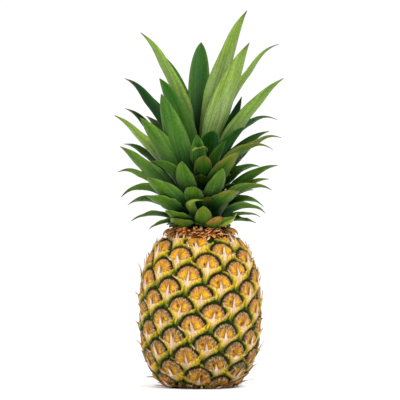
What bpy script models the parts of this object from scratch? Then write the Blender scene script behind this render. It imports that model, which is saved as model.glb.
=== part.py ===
"""A pineapple standing on its base, with its crown of leaves, as a Blender script.

The origin is the centre of the foot that it stands on, +Z is up, and the side seen first faces -Y.
Sizes below are in millimetres, and every mesh is written in metres.
"""

import math
import random

import bmesh
import bpy
import numpy as np
from mathutils import Vector

MM = 0.001

# Fruit: the radius at the grooves, and the height of its widest ring, of its top and of its curves' ends
FRUIT_RADIUS = 58.0
WIDEST_Z = 77.0
FRUIT_TOP_Z = 149.5
LOWER_END_Z = -2.0
UPPER_END_Z = 158.0
LOWER_POWER = 2.85
UPPER_POWER = 2.55

# Fruitlets, called eyes, on a spiral: each turns by the golden angle and takes the same area of skin
GOLDEN_ANGLE = math.radians(137.508)
EYE_AREA = 515.0
FIRST_EYE_Z = 91.3
FIRST_EYE_ANGLE = math.radians(0.5)
# Seen from the first eye, the 8th, the 13th and the 21st are its neighbours, so eyes have six sides.
# Each eye is meshed in this many rings, from its centre to its edge
STEP_A, STEP_B = 8, 13
EYE_RINGS = 3
SHORTEST_SIDE = 4.0
DOME_HEIGHT = 2.9
DOME_POWER = 3.0
BRACT_RISE = 1.3
SPINE_RISE = 1.7
SPINE_HALF_WIDTH = 2.0
SPINE_LENGTH = 4.5
LOWEST_RELIEF_Z = 0.6

# Cut stalk in a hollow of the foot
STALK_RADIUS = 12.0
STALK_DEPTH = 6.0
GAP = 0.3

# Dry collar between the fruit and the crown. Each ring of bracts: number, radius and height of the
# roots, length, and slope in degrees
COLLAR_RADIUS = 33.0
COLLAR_TOP_RADIUS = 25.0
COLLAR_HEIGHT = 9.5
COLLAR_RINGS = ((20, 29.0, 2.4, 13.0, 0.0), (18, 26.5, 5.6, 12.0, 14.0), (15, 23.5, 8.0, 10.0, 30.0))
HOOK_ANGLES = (-76.0, 70.0, 152.0, 221.0)
COLLAR_SEED = 5

# Crown: the core's radius at heights, and what the leaves share
STEM = ((20.5, 159.6), (25.5, 166.0), (24.0, 182.0), (20.0, 202.0), (14.0, 224.0), (8.0, 244.0), (2.5, 260.0))
LEAF_ROOT = 4.0
LEAF_ROOT_WIDTH = 0.55
LEAF_PLACES = (0.0, 0.2, 0.4, 0.6, 0.78, 0.91, 1.0)
LEAF_THICK = 1.9
LEAF_EDGE = 0.7
LEAF_TIP_WIDTH = 1.3
TAPER_POWER = 3.4

# The leaves seen from the front: the tip's x, y and z, the x and z of the leaf's middle, the root's
# height, the width, and the roll in degrees, which turns the under side to the front where positive
FRONT_LEAVES = (
    (46, -38, 374, 26, 326, 232, 29, 22),
    (48, -58, 341, 28, 297, 222, 30, 20),
    (1, 40, 346, -1, 303, 234, 36, 0),
    (-59, -27, 353, -33, 315, 228, 24, 22),
    (-39, 32, 335, -25, 309, 228, 27, 12),
    (78, -18, 342, 51, 316, 220, 19, 20),
    (82, -40, 307, 60, 287, 213, 23, 32),
    (-40, -40, 307, -24, 277, 206, 28, 26),
    (-38, -58, 291, -28, 258, 196, 29, 20),
    (-76, 30, 310, -55, 289, 212, 28, -22),
    (42, 42, 292, 34, 268, 215, 28, 0),
    (-76, 38, 280, -57, 264, 204, 24, -16),
    (-85, -22, 271, -62, 251, 196, 22, 28),
    (-59, -48, 268, -43, 248, 188, 30, 30),
    (78, 22, 268, 57, 266, 204, 26, -14),
    (70, 34, 257, 52, 247, 198, 23, -24),
    (81, -12, 249, 58, 244, 196, 21, 16),
    (72, -34, 237, 53, 240, 190, 24, 14),
    (38, -66, 234, 29, 225, 190, 29, 20),
    (-3, -58, 251, -2, 232, 206, 26, 0),
    (3, -66, 230, 3, 221, 198, 22, 0),
    (-78, 38, 244, -57, 234, 192, 24, -18),
    (-79, -34, 240, -57, 221, 181, 27, 30),
    (-18, -62, 225, -16, 210, 182, 26, 8),
    (-48, -56, 225, -34, 220, 188, 24, 12),
    (22, -62, 218, 17, 203, 178, 27, -6),
    (60, 24, 221, 45, 219, 187, 24, -22),
    (78, 16, 222, 54, 212, 178, 23, -26),
    (-82, -14, 215, -62, 212, 178, 23, 24),
    (-52, -58, 209, -37, 197, 173, 28, 28),
    (69, 4, 208, 51, 203, 177, 23, -18),
    (71, -24, 197, 53, 200, 174, 25, 18),
    (-7, -66, 200, -7, 191, 176, 25, 0),
    (38, -62, 196, 28, 191, 172, 28, 20),
    (-79, -4, 190, -63, 198, 174, 24, 22),
    (-53, -46, 191, -40, 186, 168, 25, 24),
    (64, 24, 180, 50, 187, 173, 22, -22),
    (65, -14, 174, 51, 180, 168, 22, 16),
    (-73, 12, 182, -56, 187, 170, 23, -22),
    (3, -66, 178, 3, 173, 165, 23, 0),
    (-34, -56, 177, -26, 174, 166, 24, 14),
    (-69, 2, 166, -52, 172, 166, 20, 10),
    (34, -50, 168, 26, 171, 167, 21, 12),
    (56, 6, 164, 43, 167, 166, 18, -12),
    (-51, -20, 158, -39, 164, 166, 20, 14),
    (-24, -48, 166, -19, 167, 166, 18, 0),
    (18, -50, 166, 13, 168, 166, 18, 0),
)

# The leaves round the back follow a rule from the lowest to the highest
BACK_LEAVES = 26
BACK_HALF_SPREAD = (math.radians(84.0), math.radians(40.0))
BACK_ROOTS = (166.0, 226.0)
BACK_REACH = (62.0, 80.0)
BACK_RISE = (4.0, 96.0)
BACK_WIDTH = (18.0, 25.0)
BACK_ARCH = 0.10
CROWN_SEED = 11

GOLDEN_SHARE = 0.618034


def clear_scene():
    for obj in list(bpy.data.objects):
        bpy.data.objects.remove(obj, do_unlink=True)


def new_collection(name):
    collection = bpy.data.collections.new(name)
    bpy.context.scene.collection.children.link(collection)
    return collection


def new_material(name, colour, roughness):
    material = bpy.data.materials.new(name)
    material.use_nodes = True
    shader = material.node_tree.nodes["Principled BSDF"]
    shader.inputs["Base Color"].default_value = (*colour, 1.0)
    shader.inputs["Roughness"].default_value = roughness
    shader.inputs["Metallic"].default_value = 0.0
    material.diffuse_color = (*colour, 1.0)
    return material


def new_object(name, collection, bm, material=None):
    """An object that holds the bmesh, whose points are in millimetres."""
    bmesh.ops.recalc_face_normals(bm, faces=bm.faces)
    bmesh.ops.scale(bm, vec=(MM, MM, MM), verts=bm.verts)
    mesh = bpy.data.meshes.new(name)
    bm.to_mesh(mesh)
    bm.free()
    if material is not None:
        mesh.materials.append(material)
    obj = bpy.data.objects.new(name, mesh)
    collection.objects.link(obj)
    return obj


def loft(rings):
    """A closed bmesh through rings of points, which all hold the same number."""
    bm = bmesh.new()
    made = [[bm.verts.new(p) for p in ring] for ring in rings]
    count = len(rings[0])
    for low, high in zip(made, made[1:]):
        for i in range(count):
            j = (i + 1) % count
            bm.faces.new((low[i], low[j], high[j], high[i]))
    bm.faces.new(reversed(made[0]))
    bm.faces.new(made[-1])
    return bm


def boolean(obj, operation, solver, other=None, group=None):
    modifier = obj.modifiers.new(operation.title(), "BOOLEAN")
    modifier.operation = operation
    modifier.solver = solver
    if group is None:
        modifier.object = other
    else:
        modifier.operand_type = "COLLECTION"
        modifier.collection = group
    return modifier


def apply_modifiers(obj):
    graph = bpy.context.evaluated_depsgraph_get()
    mesh = bpy.data.meshes.new_from_object(obj.evaluated_get(graph))
    obj.modifiers.clear()
    obj.data = mesh


def keep_outer_shell(obj):
    """Removes the small shells inside a body, where the joined pieces close off a hollow."""
    bm = bmesh.new()
    bm.from_mesh(obj.data)
    left = set(bm.verts)
    shells = []
    while left:
        shell = set()
        front = [left.pop()]
        while front:
            vert = front.pop()
            shell.add(vert)
            near = [e.other_vert(vert) for e in vert.link_edges]
            fresh = [v for v in near if v in left]
            left.difference_update(fresh)
            front.extend(fresh)
        shells.append(shell)
    shells.sort(key=len)
    for shell in shells[:-1]:
        bmesh.ops.delete(bm, geom=list(shell), context="VERTS")
    bm.to_mesh(obj.data)
    bm.free()


def fuse(obj, group):
    """Joins the collection's objects into obj as one body, and removes them."""
    boolean(obj, "UNION", "MANIFOLD", group=group)
    bpy.context.view_layer.update()
    apply_modifiers(obj)
    keep_outer_shell(obj)
    for part in list(group.objects):
        bpy.data.objects.remove(part, do_unlink=True)
    bpy.data.collections.remove(group)


def smooth(obj):
    obj.data.shade_smooth()
    obj.data.set_sharp_from_angle(angle=math.radians(40))


def direction(azimuth):
    """The level direction at an angle from the front, turning to the right."""
    return Vector((math.sin(azimuth), -math.cos(azimuth), 0.0))


def wave(low, high, value):
    """0 below low and 1 above high, with a smooth step between."""
    t = np.clip((value - low) / (high - low), 0.0, 1.0)
    return t * t * (3.0 - 2.0 * t)


class Skin:
    """The fruit's skin at its grooves, from the foot's centre up its side to the middle of its top."""

    def __init__(self):
        lower = self.arc(WIDEST_Z, LOWER_END_Z, LOWER_POWER, 0.0)[::-1]
        upper = self.arc(WIDEST_Z, UPPER_END_Z, UPPER_POWER, FRUIT_TOP_Z)
        side = lower + upper[1:]
        foot = [(side[0][0] * t, 0.0) for t in np.linspace(0.0, 1.0, 40)[:-1]]
        top = [(side[-1][0] * t, FRUIT_TOP_Z) for t in np.linspace(1.0, 0.0, 40)[1:]]
        self.r, self.z = np.array(foot + side + top).T
        step = np.hypot(np.diff(self.r), np.diff(self.z))
        self.s = np.concatenate([[0.0], np.cumsum(step)])
        ring = math.pi * (self.r[1:] + self.r[:-1]) * step
        area = np.concatenate([[0.0], np.cumsum(ring)])
        first = np.interp(FIRST_EYE_Z, side_heights(self.z), area)
        self.eye = (area - first) / EYE_AREA
        self.foot_s = self.s[len(foot)]
        self.top_s = self.s[-len(top) - 1]
        slope = np.hypot(np.gradient(self.r), np.gradient(self.z))
        self.out_r = np.gradient(self.z) / slope
        self.out_z = -np.gradient(self.r) / slope

    @staticmethod
    def arc(start, end, power, stop):
        """Half a superellipse from its widest point towards its end, as far as the height stop."""
        reach = abs(stop - start) / abs(end - start)
        points = []
        for t in np.linspace(0.0, 1.0, 160):
            share = reach * math.sin(t * math.pi / 2.0)
            radius = FRUIT_RADIUS * (1.0 - share**power) ** (1.0 / power)
            points.append((radius, start + share * (end - start)))
        return points

    def length(self, eye):
        """Length along the skin of a place on the spiral."""
        return np.interp(eye, self.eye, self.s)

    def at(self, s):
        """Radius, height and outward direction at a length along the skin."""
        return [np.interp(s, self.s, line) for line in (self.r, self.z, self.out_r, self.out_z)]


def side_heights(z):
    """Heights that always rise, so that a height finds its place on the skin."""
    return z + np.linspace(0.0, 1e-6, len(z))


def nearest_eye(across_a, across_b):
    """For places counted in steps to the 8th and the 13th eye: the nearest eye, and how far off it is.

    The distance is 0 at the eye's centre and 1 at its edge, which has six sides.
    """
    base_a, base_b = np.floor(across_a), np.floor(across_b)
    best = np.full(len(across_a), 9.0)
    eye_a, eye_b = base_a.copy(), base_b.copy()
    for add_a, add_b in ((0, 0), (1, 0), (0, 1), (1, 1)):
        a, b = across_a - base_a - add_a, across_b - base_b - add_b
        off = np.max(np.abs([2 * a - b, 2 * b - a, a + b]), axis=0)
        nearer = off < best - 1e-9
        best[nearer] = off[nearer]
        eye_a[nearer], eye_b[nearer] = (base_a + add_a)[nearer], (base_b + add_b)[nearer]
    return eye_a, eye_b, best


def corner(first, second):
    """The point as far from an eye's centre as from two of its neighbours, which lie at these two places."""
    long_first, long_second = np.sum(first**2, axis=0), np.sum(second**2, axis=0)
    area = 2.0 * (first[0] * second[1] - first[1] * second[0])
    x = (second[1] * long_first - first[1] * long_second) / area
    y = (first[0] * long_second - second[0] * long_first) / area
    return np.array([x, y])


def cell_place(across_a, across_b, step_a, step_b):
    """Where a place in an eye lies, in millimetres, with the eye's corners moved to even out its sides.

    The place is given in steps from the eye's centre, and step_a and step_b are the steps in millimetres.
    The side towards the 21st eye is kept from closing up, as it would near the foot and the top.
    """
    step_ab = step_a + step_b
    plain = [(step_a + step_ab) / 3.0, (step_ab + step_b) / 3.0, (step_b - step_a) / 3.0]
    even = [corner(step_a, step_ab), corner(step_ab, step_b), corner(step_b, -step_a)]
    level = np.array([step_ab[1], -step_ab[0]]) / np.hypot(*step_ab)
    plain_side = np.sum((plain[0] - plain[1]) * level, axis=0)
    even_side = np.sum((even[0] - even[1]) * level, axis=0)
    share = np.clip((plain_side - SHORTEST_SIDE) / (plain_side - even_side), 0.0, 1.0)
    corners = [p + (e - p) * share for p, e in zip(plain, even)]
    to_a, to_ab, to_b = 2 * across_a - across_b, across_a + across_b, 2 * across_b - across_a
    by_a = to_ab * corners[0] - (to_a - to_ab) * corners[2]
    by_ab = to_a * corners[0] + to_b * corners[1]
    by_b = to_ab * corners[1] - to_a * corners[2]
    largest = np.argmax(np.abs([to_a, to_ab, to_b]), axis=0)
    return np.choose(largest, [by_a, by_ab, by_b])


def eye_relief(off, x, y):
    """How far the skin stands out of its grooves: a dome for each eye, with its bract and its spine."""
    dome = DOME_HEIGHT * (1.0 - off**DOME_POWER)
    bract = BRACT_RISE * wave(1.0, 0.6, off) * wave(1.5, -1.5, y - 0.12 * np.abs(x))
    spine = SPINE_RISE * np.exp(-((x / SPINE_HALF_WIDTH) ** 2) - ((y - 0.5) / SPINE_LENGTH) ** 2)
    return dome + bract + spine


def fruit_mesh(skin):
    """The side as a net of triangles that runs along the eyes' edges, closed by a flat foot and a flat top."""
    turn_a = (STEP_A * GOLDEN_ANGLE + math.pi) % (2.0 * math.pi) - math.pi
    turn_b = (STEP_B * GOLDEN_ANGLE + math.pi) % (2.0 * math.pi) - math.pi
    cuts = 3 * EYE_RINGS
    rise = 2 * STEP_B + STEP_A
    drop = STEP_B - STEP_A
    round_i, round_j = rise * EYE_RINGS, drop * EYE_RINGS
    lowest, highest = np.interp([skin.foot_s + 2.0, skin.top_s - 1.5], skin.s, skin.eye)
    places = {}
    foot_rim, top_rim = [], []
    for i in range(round_i):
        start = math.ceil((lowest * cuts + drop * i) / rise)
        end = math.floor((highest * cuts + drop * i) / rise)
        for j in range(start, end + 1):
            places[i, j] = len(places)
        foot_rim.append(places[i, start])
        top_rim.append(places[i, end])

    i, j = np.array(list(places)).T
    along_a, along_b = (i + j) / cuts, (2 * j - i) / cuts
    eye_a, eye_b, off = nearest_eye(along_a, along_b)
    s = skin.length(STEP_A * along_a + STEP_B * along_b)
    on_side = wave(skin.foot_s + 1.0, skin.foot_s + 13.0, s) * wave(skin.top_s, skin.top_s - 6.0, s)
    eye_s = skin.length(STEP_A * eye_a + STEP_B * eye_b)
    radius = skin.at(s)[0]
    per_eye = EYE_AREA / (2.0 * math.pi * radius)
    step_a = np.array([turn_a * radius, STEP_A * per_eye])
    step_b = np.array([turn_b * radius, STEP_B * per_eye])
    even_x = (along_a - eye_a) * step_a[0] + (along_b - eye_b) * step_b[0]
    x, y = cell_place(along_a - eye_a, along_b - eye_b, step_a, step_b)
    x = even_x + (x - even_x) * on_side
    y = (s - eye_s) + (y - (s - eye_s)) * on_side
    angle = FIRST_EYE_ANGLE + turn_a * eye_a + turn_b * eye_b + x / radius
    radius, height, out_r, out_z = skin.at(eye_s + y)
    relief = eye_relief(off, x, y) * on_side
    radius = radius + relief * out_r
    height = np.clip(height + relief * out_z, LOWEST_RELIEF_Z, FRUIT_TOP_Z - LOWEST_RELIEF_Z)

    bm = bmesh.new()
    verts = [bm.verts.new((r * math.sin(a), -r * math.cos(a), z)) for r, a, z in zip(radius, angle, height)]

    def vert(i, j):
        number = places.get((i - round_i, j - round_j) if i >= round_i else (i, j))
        return None if number is None else verts[number]

    for i, j in places:
        for corners in (((i, j), (i + 1, j), (i + 1, j + 1)), ((i, j), (i + 1, j + 1), (i, j + 1))):
            found = [vert(*corner) for corner in corners]
            if None not in found:
                bm.faces.new(found)
    for rim, rim_s in ((foot_rim, skin.foot_s), (top_rim, skin.top_s)):
        rim_radius, rim_z = skin.at(rim_s)[:2]
        ring = [bm.verts.new(direction(angle[k]) * rim_radius + Vector((0.0, 0.0, rim_z))) for k in rim]
        for k, here in enumerate(rim):
            there = (k + 1) % len(rim)
            bm.faces.new((verts[here], verts[rim[there]], ring[there], ring[k]))
        bm.faces.new(ring)
    return bm


def build_fruit(collection, cutters, material):
    fruit = new_object("fruit", collection, fruit_mesh(Skin()), material)
    hole = bmesh.new()
    bmesh.ops.create_cone(
        hole,
        cap_ends=True,
        segments=32,
        radius1=STALK_RADIUS + GAP,
        radius2=STALK_RADIUS + GAP,
        depth=2.0 * (STALK_DEPTH + GAP),
    )
    cutter = new_object("stalk_hollow_cutter", cutters, hole)
    cutter.hide_render = True
    cutter.display_type = "WIRE"
    boolean(fruit, "DIFFERENCE", "EXACT", other=cutter)
    return fruit


def build_stalk(collection, material):
    bm = bmesh.new()
    bmesh.ops.create_cone(
        bm, cap_ends=True, segments=32, radius1=STALK_RADIUS, radius2=STALK_RADIUS, depth=STALK_DEPTH
    )
    bmesh.ops.translate(bm, vec=(0.0, 0.0, STALK_DEPTH / 2.0), verts=bm.verts)
    return new_object("cut_stalk", collection, bm, material)


def spike(root, out, length, width, lift, droop):
    """A dry bract: a short curved spike with a flat four-sided section."""
    up = Vector((0.0, 0.0, 1.0))
    side = up.cross(out)
    point = root.copy()
    rings = []
    steps = 2
    for k in range(steps + 1):
        slope = math.radians(lift - droop * k / steps)
        along = out * math.cos(slope) + up * math.sin(slope)
        over = up * math.cos(slope) - out * math.sin(slope)
        if k:
            point = point + along * (length / steps)
        half = max(width / 2.0 * (1.0 - (k / steps) ** 1.4), 0.4)
        thick = max(1.3 * (1.0 - k / steps), 0.4)
        rings.append([point - side * half, point - over * thick, point + side * half, point + over * thick])
    return loft(rings)


def build_collar(collection, material):
    """The ring of dry bracts that closes the fruit, with a few larger ones hooked over its shoulder."""
    draw = random.Random(COLLAR_SEED)
    base_z = FRUIT_TOP_Z + GAP
    core = bmesh.new()
    bmesh.ops.create_cone(
        core,
        cap_ends=True,
        segments=36,
        radius1=COLLAR_RADIUS,
        radius2=COLLAR_TOP_RADIUS,
        depth=COLLAR_HEIGHT,
    )
    bmesh.ops.translate(core, vec=(0.0, 0.0, base_z + COLLAR_HEIGHT / 2.0), verts=core.verts)
    collar = new_object("neck_bracts", collection, core, material)
    spikes = new_collection("neck spikes")
    for number, radius, height, length, lift in COLLAR_RINGS:
        for k in range(number):
            out = direction(2.0 * math.pi * (k + draw.uniform(-0.3, 0.3)) / number)
            slope = lift + draw.uniform(-6.0, 6.0)
            root = out * radius + Vector((0.0, 0.0, base_z + height))
            reach = length * draw.uniform(0.85, 1.15)
            new_object("spike", spikes, spike(root, out, reach, 7.0, slope, draw.uniform(0.0, 20.0)))
    for angle in HOOK_ANGLES:
        out = direction(math.radians(angle))
        root = out * (COLLAR_RADIUS - 7.0) + Vector((0.0, 0.0, base_z + 5.0))
        new_object("hook", spikes, spike(root, out, 19.0, 12.0, 24.0, 50.0))
    fuse(collar, spikes)
    return collar


def stem_radius(height):
    radii, heights = zip(*STEM)
    return float(np.interp(height, heights, radii))


class LeafCurve:
    """A leaf's middle line: a curve from its root through its middle to its tip."""

    def __init__(self, root, middle, tip):
        pass_at = (middle - root).length / ((middle - root).length + (tip - middle).length)
        ends = root * (1.0 - pass_at) ** 2 + tip * pass_at**2
        self.root, self.tip = root, tip
        self.bend = (middle - ends) / (2.0 * pass_at * (1.0 - pass_at))
        self.fine = np.linspace(0.0, 1.0, 41)
        points = [self.point(t) for t in self.fine]
        steps = [(there - here).length for here, there in zip(points, points[1:])]
        self.share = np.concatenate([[0.0], np.cumsum(steps)]) / sum(steps)

    def point(self, t):
        return self.root * (1.0 - t) ** 2 + self.bend * (2.0 * t * (1.0 - t)) + self.tip * t**2

    def at(self, share):
        """Point and direction at a share of the leaf's length."""
        t = float(np.interp(share, self.share, self.fine))
        along = (self.bend - self.root) * (1.0 - t) + (self.tip - self.bend) * t
        return self.point(t), along.normalized()


def leaf_mesh(root, middle, tip, width, roll):
    """A trough-shaped blade along its curve, clasping at its root and narrowing to its tip."""
    curve = LeafCurve(root, middle, tip)
    out = Vector((tip.x, tip.y, 0.0)).normalized()
    level = Vector((0.0, 0.0, 1.0)).cross(out)
    turn = math.radians(-roll) * out.x
    rings = []
    for u in LEAF_PLACES:
        point, along = curve.at(u)
        flat = (level - along * level.dot(along)).normalized()
        face = along.cross(flat)
        angle = turn * min(u / 0.4, 1.0)
        side = flat * math.cos(angle) + face * math.sin(angle)
        over = face * math.cos(angle) - flat * math.sin(angle)
        neck = LEAF_ROOT_WIDTH + (1.0 - LEAF_ROOT_WIDTH) * min(u / 0.4, 1.0)
        half = max(width / 2.0 * neck * (1.0 - u**TAPER_POWER), LEAF_TIP_WIDTH / 2.0)
        wrap = math.radians(30.0 + 32.0 * (1.0 - u) ** 2)
        lift = half / wrap * (1.0 - math.cos(wrap))
        reach = half / wrap * math.sin(wrap)
        thick = LEAF_EDGE + (LEAF_THICK - LEAF_EDGE) * (1.0 - u)
        left, right = point - side * reach + over * lift, point + side * reach + over * lift
        edge = over * LEAF_EDGE
        rings.append([left, point, right, right - edge, point - over * thick, left - edge])
    return loft(rings)


def stem_point(azimuth, height):
    return direction(azimuth) * max(stem_radius(height) - LEAF_ROOT, 0.5) + Vector((0.0, 0.0, height))


def front_leaves():
    for x, y, z, middle_x, middle_z, root_z, width, roll in FRONT_LEAVES:
        tip = Vector((x, y, z))
        root = stem_point(math.atan2(x, -y), root_z)
        share = (middle_x - root.x) / (x - root.x) if abs(x) > 25 else 0.55
        middle = Vector((middle_x, root.y + (y - root.y) * min(max(share, 0.4), 0.8), middle_z))
        yield root, middle, tip, width, roll


def back_leaves():
    """The leaves that the front view hides, lowest first."""
    draw = random.Random(CROWN_SEED)
    for k in range(BACK_LEAVES):
        share = k / (BACK_LEAVES - 1)
        spread, reach, root_z, rise, width = (
            low + (high - low) * share
            for low, high in (BACK_HALF_SPREAD, BACK_REACH, BACK_ROOTS, BACK_RISE, BACK_WIDTH)
        )
        azimuth = math.pi + spread * (2.0 * ((k * GOLDEN_SHARE) % 1.0) - 1.0)
        root = stem_point(azimuth, root_z)
        tip = direction(azimuth) * reach * draw.uniform(0.88, 1.1)
        tip.z = root_z + rise * draw.uniform(0.85, 1.15)
        middle = (root + tip) / 2.0
        middle.z += (tip - root).length * BACK_ARCH * draw.uniform(0.7, 1.3)
        yield root, middle, tip, width * draw.uniform(0.9, 1.1), draw.uniform(-15.0, 15.0)


def build_crown(collection, material):
    sides = 18
    around = [direction(2.0 * math.pi * k / sides) for k in range(sides)]
    rings = [[out * radius + Vector((0.0, 0.0, height)) for out in around] for radius, height in STEM]
    crown = new_object("crown", collection, loft(rings), material)
    blades = new_collection("crown blades")
    for leaf in (*front_leaves(), *back_leaves()):
        new_object("blade", blades, leaf_mesh(*leaf))
    fuse(crown, blades)
    return crown


def main():
    clear_scene()
    parts = new_collection("pineapple")
    cutters = new_collection("cutters")
    skin_colour = new_material("fruit_skin", (0.52, 0.36, 0.06), 0.55)
    stalk_colour = new_material("cut_stalk_wood", (0.55, 0.42, 0.26), 0.8)
    dry_colour = new_material("dry_bract", (0.42, 0.17, 0.07), 0.75)
    leaf_colour = new_material("leaf_green", (0.09, 0.24, 0.05), 0.45)
    made = [
        build_fruit(parts, cutters, skin_colour),
        build_stalk(parts, stalk_colour),
        build_collar(parts, dry_colour),
        build_crown(parts, leaf_colour),
    ]
    for obj in made:
        smooth(obj)


main()
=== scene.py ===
"""Looks of the pineapple: its skin of eyes with their bracts and spines, the dry collar and the leaves.

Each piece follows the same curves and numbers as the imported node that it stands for. Sizes are in
millimetres, and in metres in a written mesh, in a finish and on the stage.
"""

import random
from collections import namedtuple
from math import atan2, ceil, cos, floor, pi, radians, sin

import bpy
import numpy as np
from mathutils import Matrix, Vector

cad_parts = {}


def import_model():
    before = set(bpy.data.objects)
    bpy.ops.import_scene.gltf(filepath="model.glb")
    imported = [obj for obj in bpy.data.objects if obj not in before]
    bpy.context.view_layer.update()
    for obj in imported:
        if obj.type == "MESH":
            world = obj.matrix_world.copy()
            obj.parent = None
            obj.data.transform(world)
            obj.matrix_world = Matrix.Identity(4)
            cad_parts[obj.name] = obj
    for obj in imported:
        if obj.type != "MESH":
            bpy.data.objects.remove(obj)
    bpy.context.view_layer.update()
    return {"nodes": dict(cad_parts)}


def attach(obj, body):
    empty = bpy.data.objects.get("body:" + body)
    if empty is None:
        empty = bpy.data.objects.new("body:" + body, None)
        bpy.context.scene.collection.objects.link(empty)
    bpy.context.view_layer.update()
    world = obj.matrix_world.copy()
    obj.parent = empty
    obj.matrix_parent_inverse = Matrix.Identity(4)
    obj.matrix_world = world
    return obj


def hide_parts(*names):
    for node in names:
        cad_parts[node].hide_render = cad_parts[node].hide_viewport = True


MM = 0.001

# Fruit, as in the part: the radius at the grooves, and the skin's curves
FRUIT_RADIUS = 58.0
WIDEST_Z = 77.0
FRUIT_TOP_Z = 149.5
LOWER_END_Z = -2.0
UPPER_END_Z = 158.0
LOWER_POWER = 2.85
UPPER_POWER = 2.55
HOLLOW_RADIUS = 12.3
HOLLOW_TOP_Z = 6.3
ARC_POINTS = 160
FLAT_POINTS = 40

# The eyes' spiral, as in the part: the turn and the area from each eye to the next
GOLDEN_ANGLE = radians(137.508)
EYE_AREA = 515.0
FIRST_EYE_Z = 91.3
FIRST_EYE_ANGLE = radians(0.5)
EYE_SEED = 23

# Net of the skin, and the radius of the fan that closes its top
SKIN_COLUMNS = 440
SIDE_ROWS = 196
FOOT_ROWS = 8
TOP_ROWS = 6
TOP_FAN = 8.0

# An eye's dome and bract, how far they reach from its centre, and the share of a place outside them
DOME_HALF = (12.3, 12.4)
DOME_RISE = 3.1
BRACT_HALF = 16.0
BRACT_FOOT_Y = -20.0
BRACT_HEAD_Y = 1.0
REACH_ACROSS = 18.0
REACH_UP = (-21.0, 17.0)
OUTSIDE = 9.0

# Spines, hairs and foot scales: how many, the points along and across, the cells of their map, the
# plane in front that none crosses, and the least height above the floor
HAIRS_AN_EYE = 3
FOOT_SCALES = 140
SPINE_ROWS = 9
HAIR_ROWS = 5
FOOT_SCALE_ROWS = 6
FLAKE_ACROSS = 5
FLAKE_CELLS = (25, 25)
FRONT_LIMIT_Y = -65.3
FLOOR_GAP = 0.1

# The crown's stem: its radius at heights, and its net
STEM = ((20.5, 159.6), (25.5, 166.0), (24.0, 182.0), (20.0, 202.0), (14.0, 224.0), (8.0, 244.0), (2.5, 260.0))
STEM_COLUMNS = 36
STEM_ROWS = 30

# What the leaves share: the root's depth in the stem, the points along and across, the thickness at
# the root and the edges, half the tip's width, the outline's power, and as shares of the length
# where the blade is open, where its tip starts to hook up and how far a wholly dry one does
LEAF_ROOT = 4.0
LEAF_ROWS = 30
LEAF_ACROSS = 11
LEAF_THICK = 1.8
LEAF_EDGE = 0.35
LEAF_TIP_HALF = 0.35
LEAF_TAPER = 2.7
LEAF_OPEN = 0.4
HOOK_START = 0.72
LEAF_HOOK = 0.034
CURVE_POINTS = 41
LEAVES_IN_PIECE = 12

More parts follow.
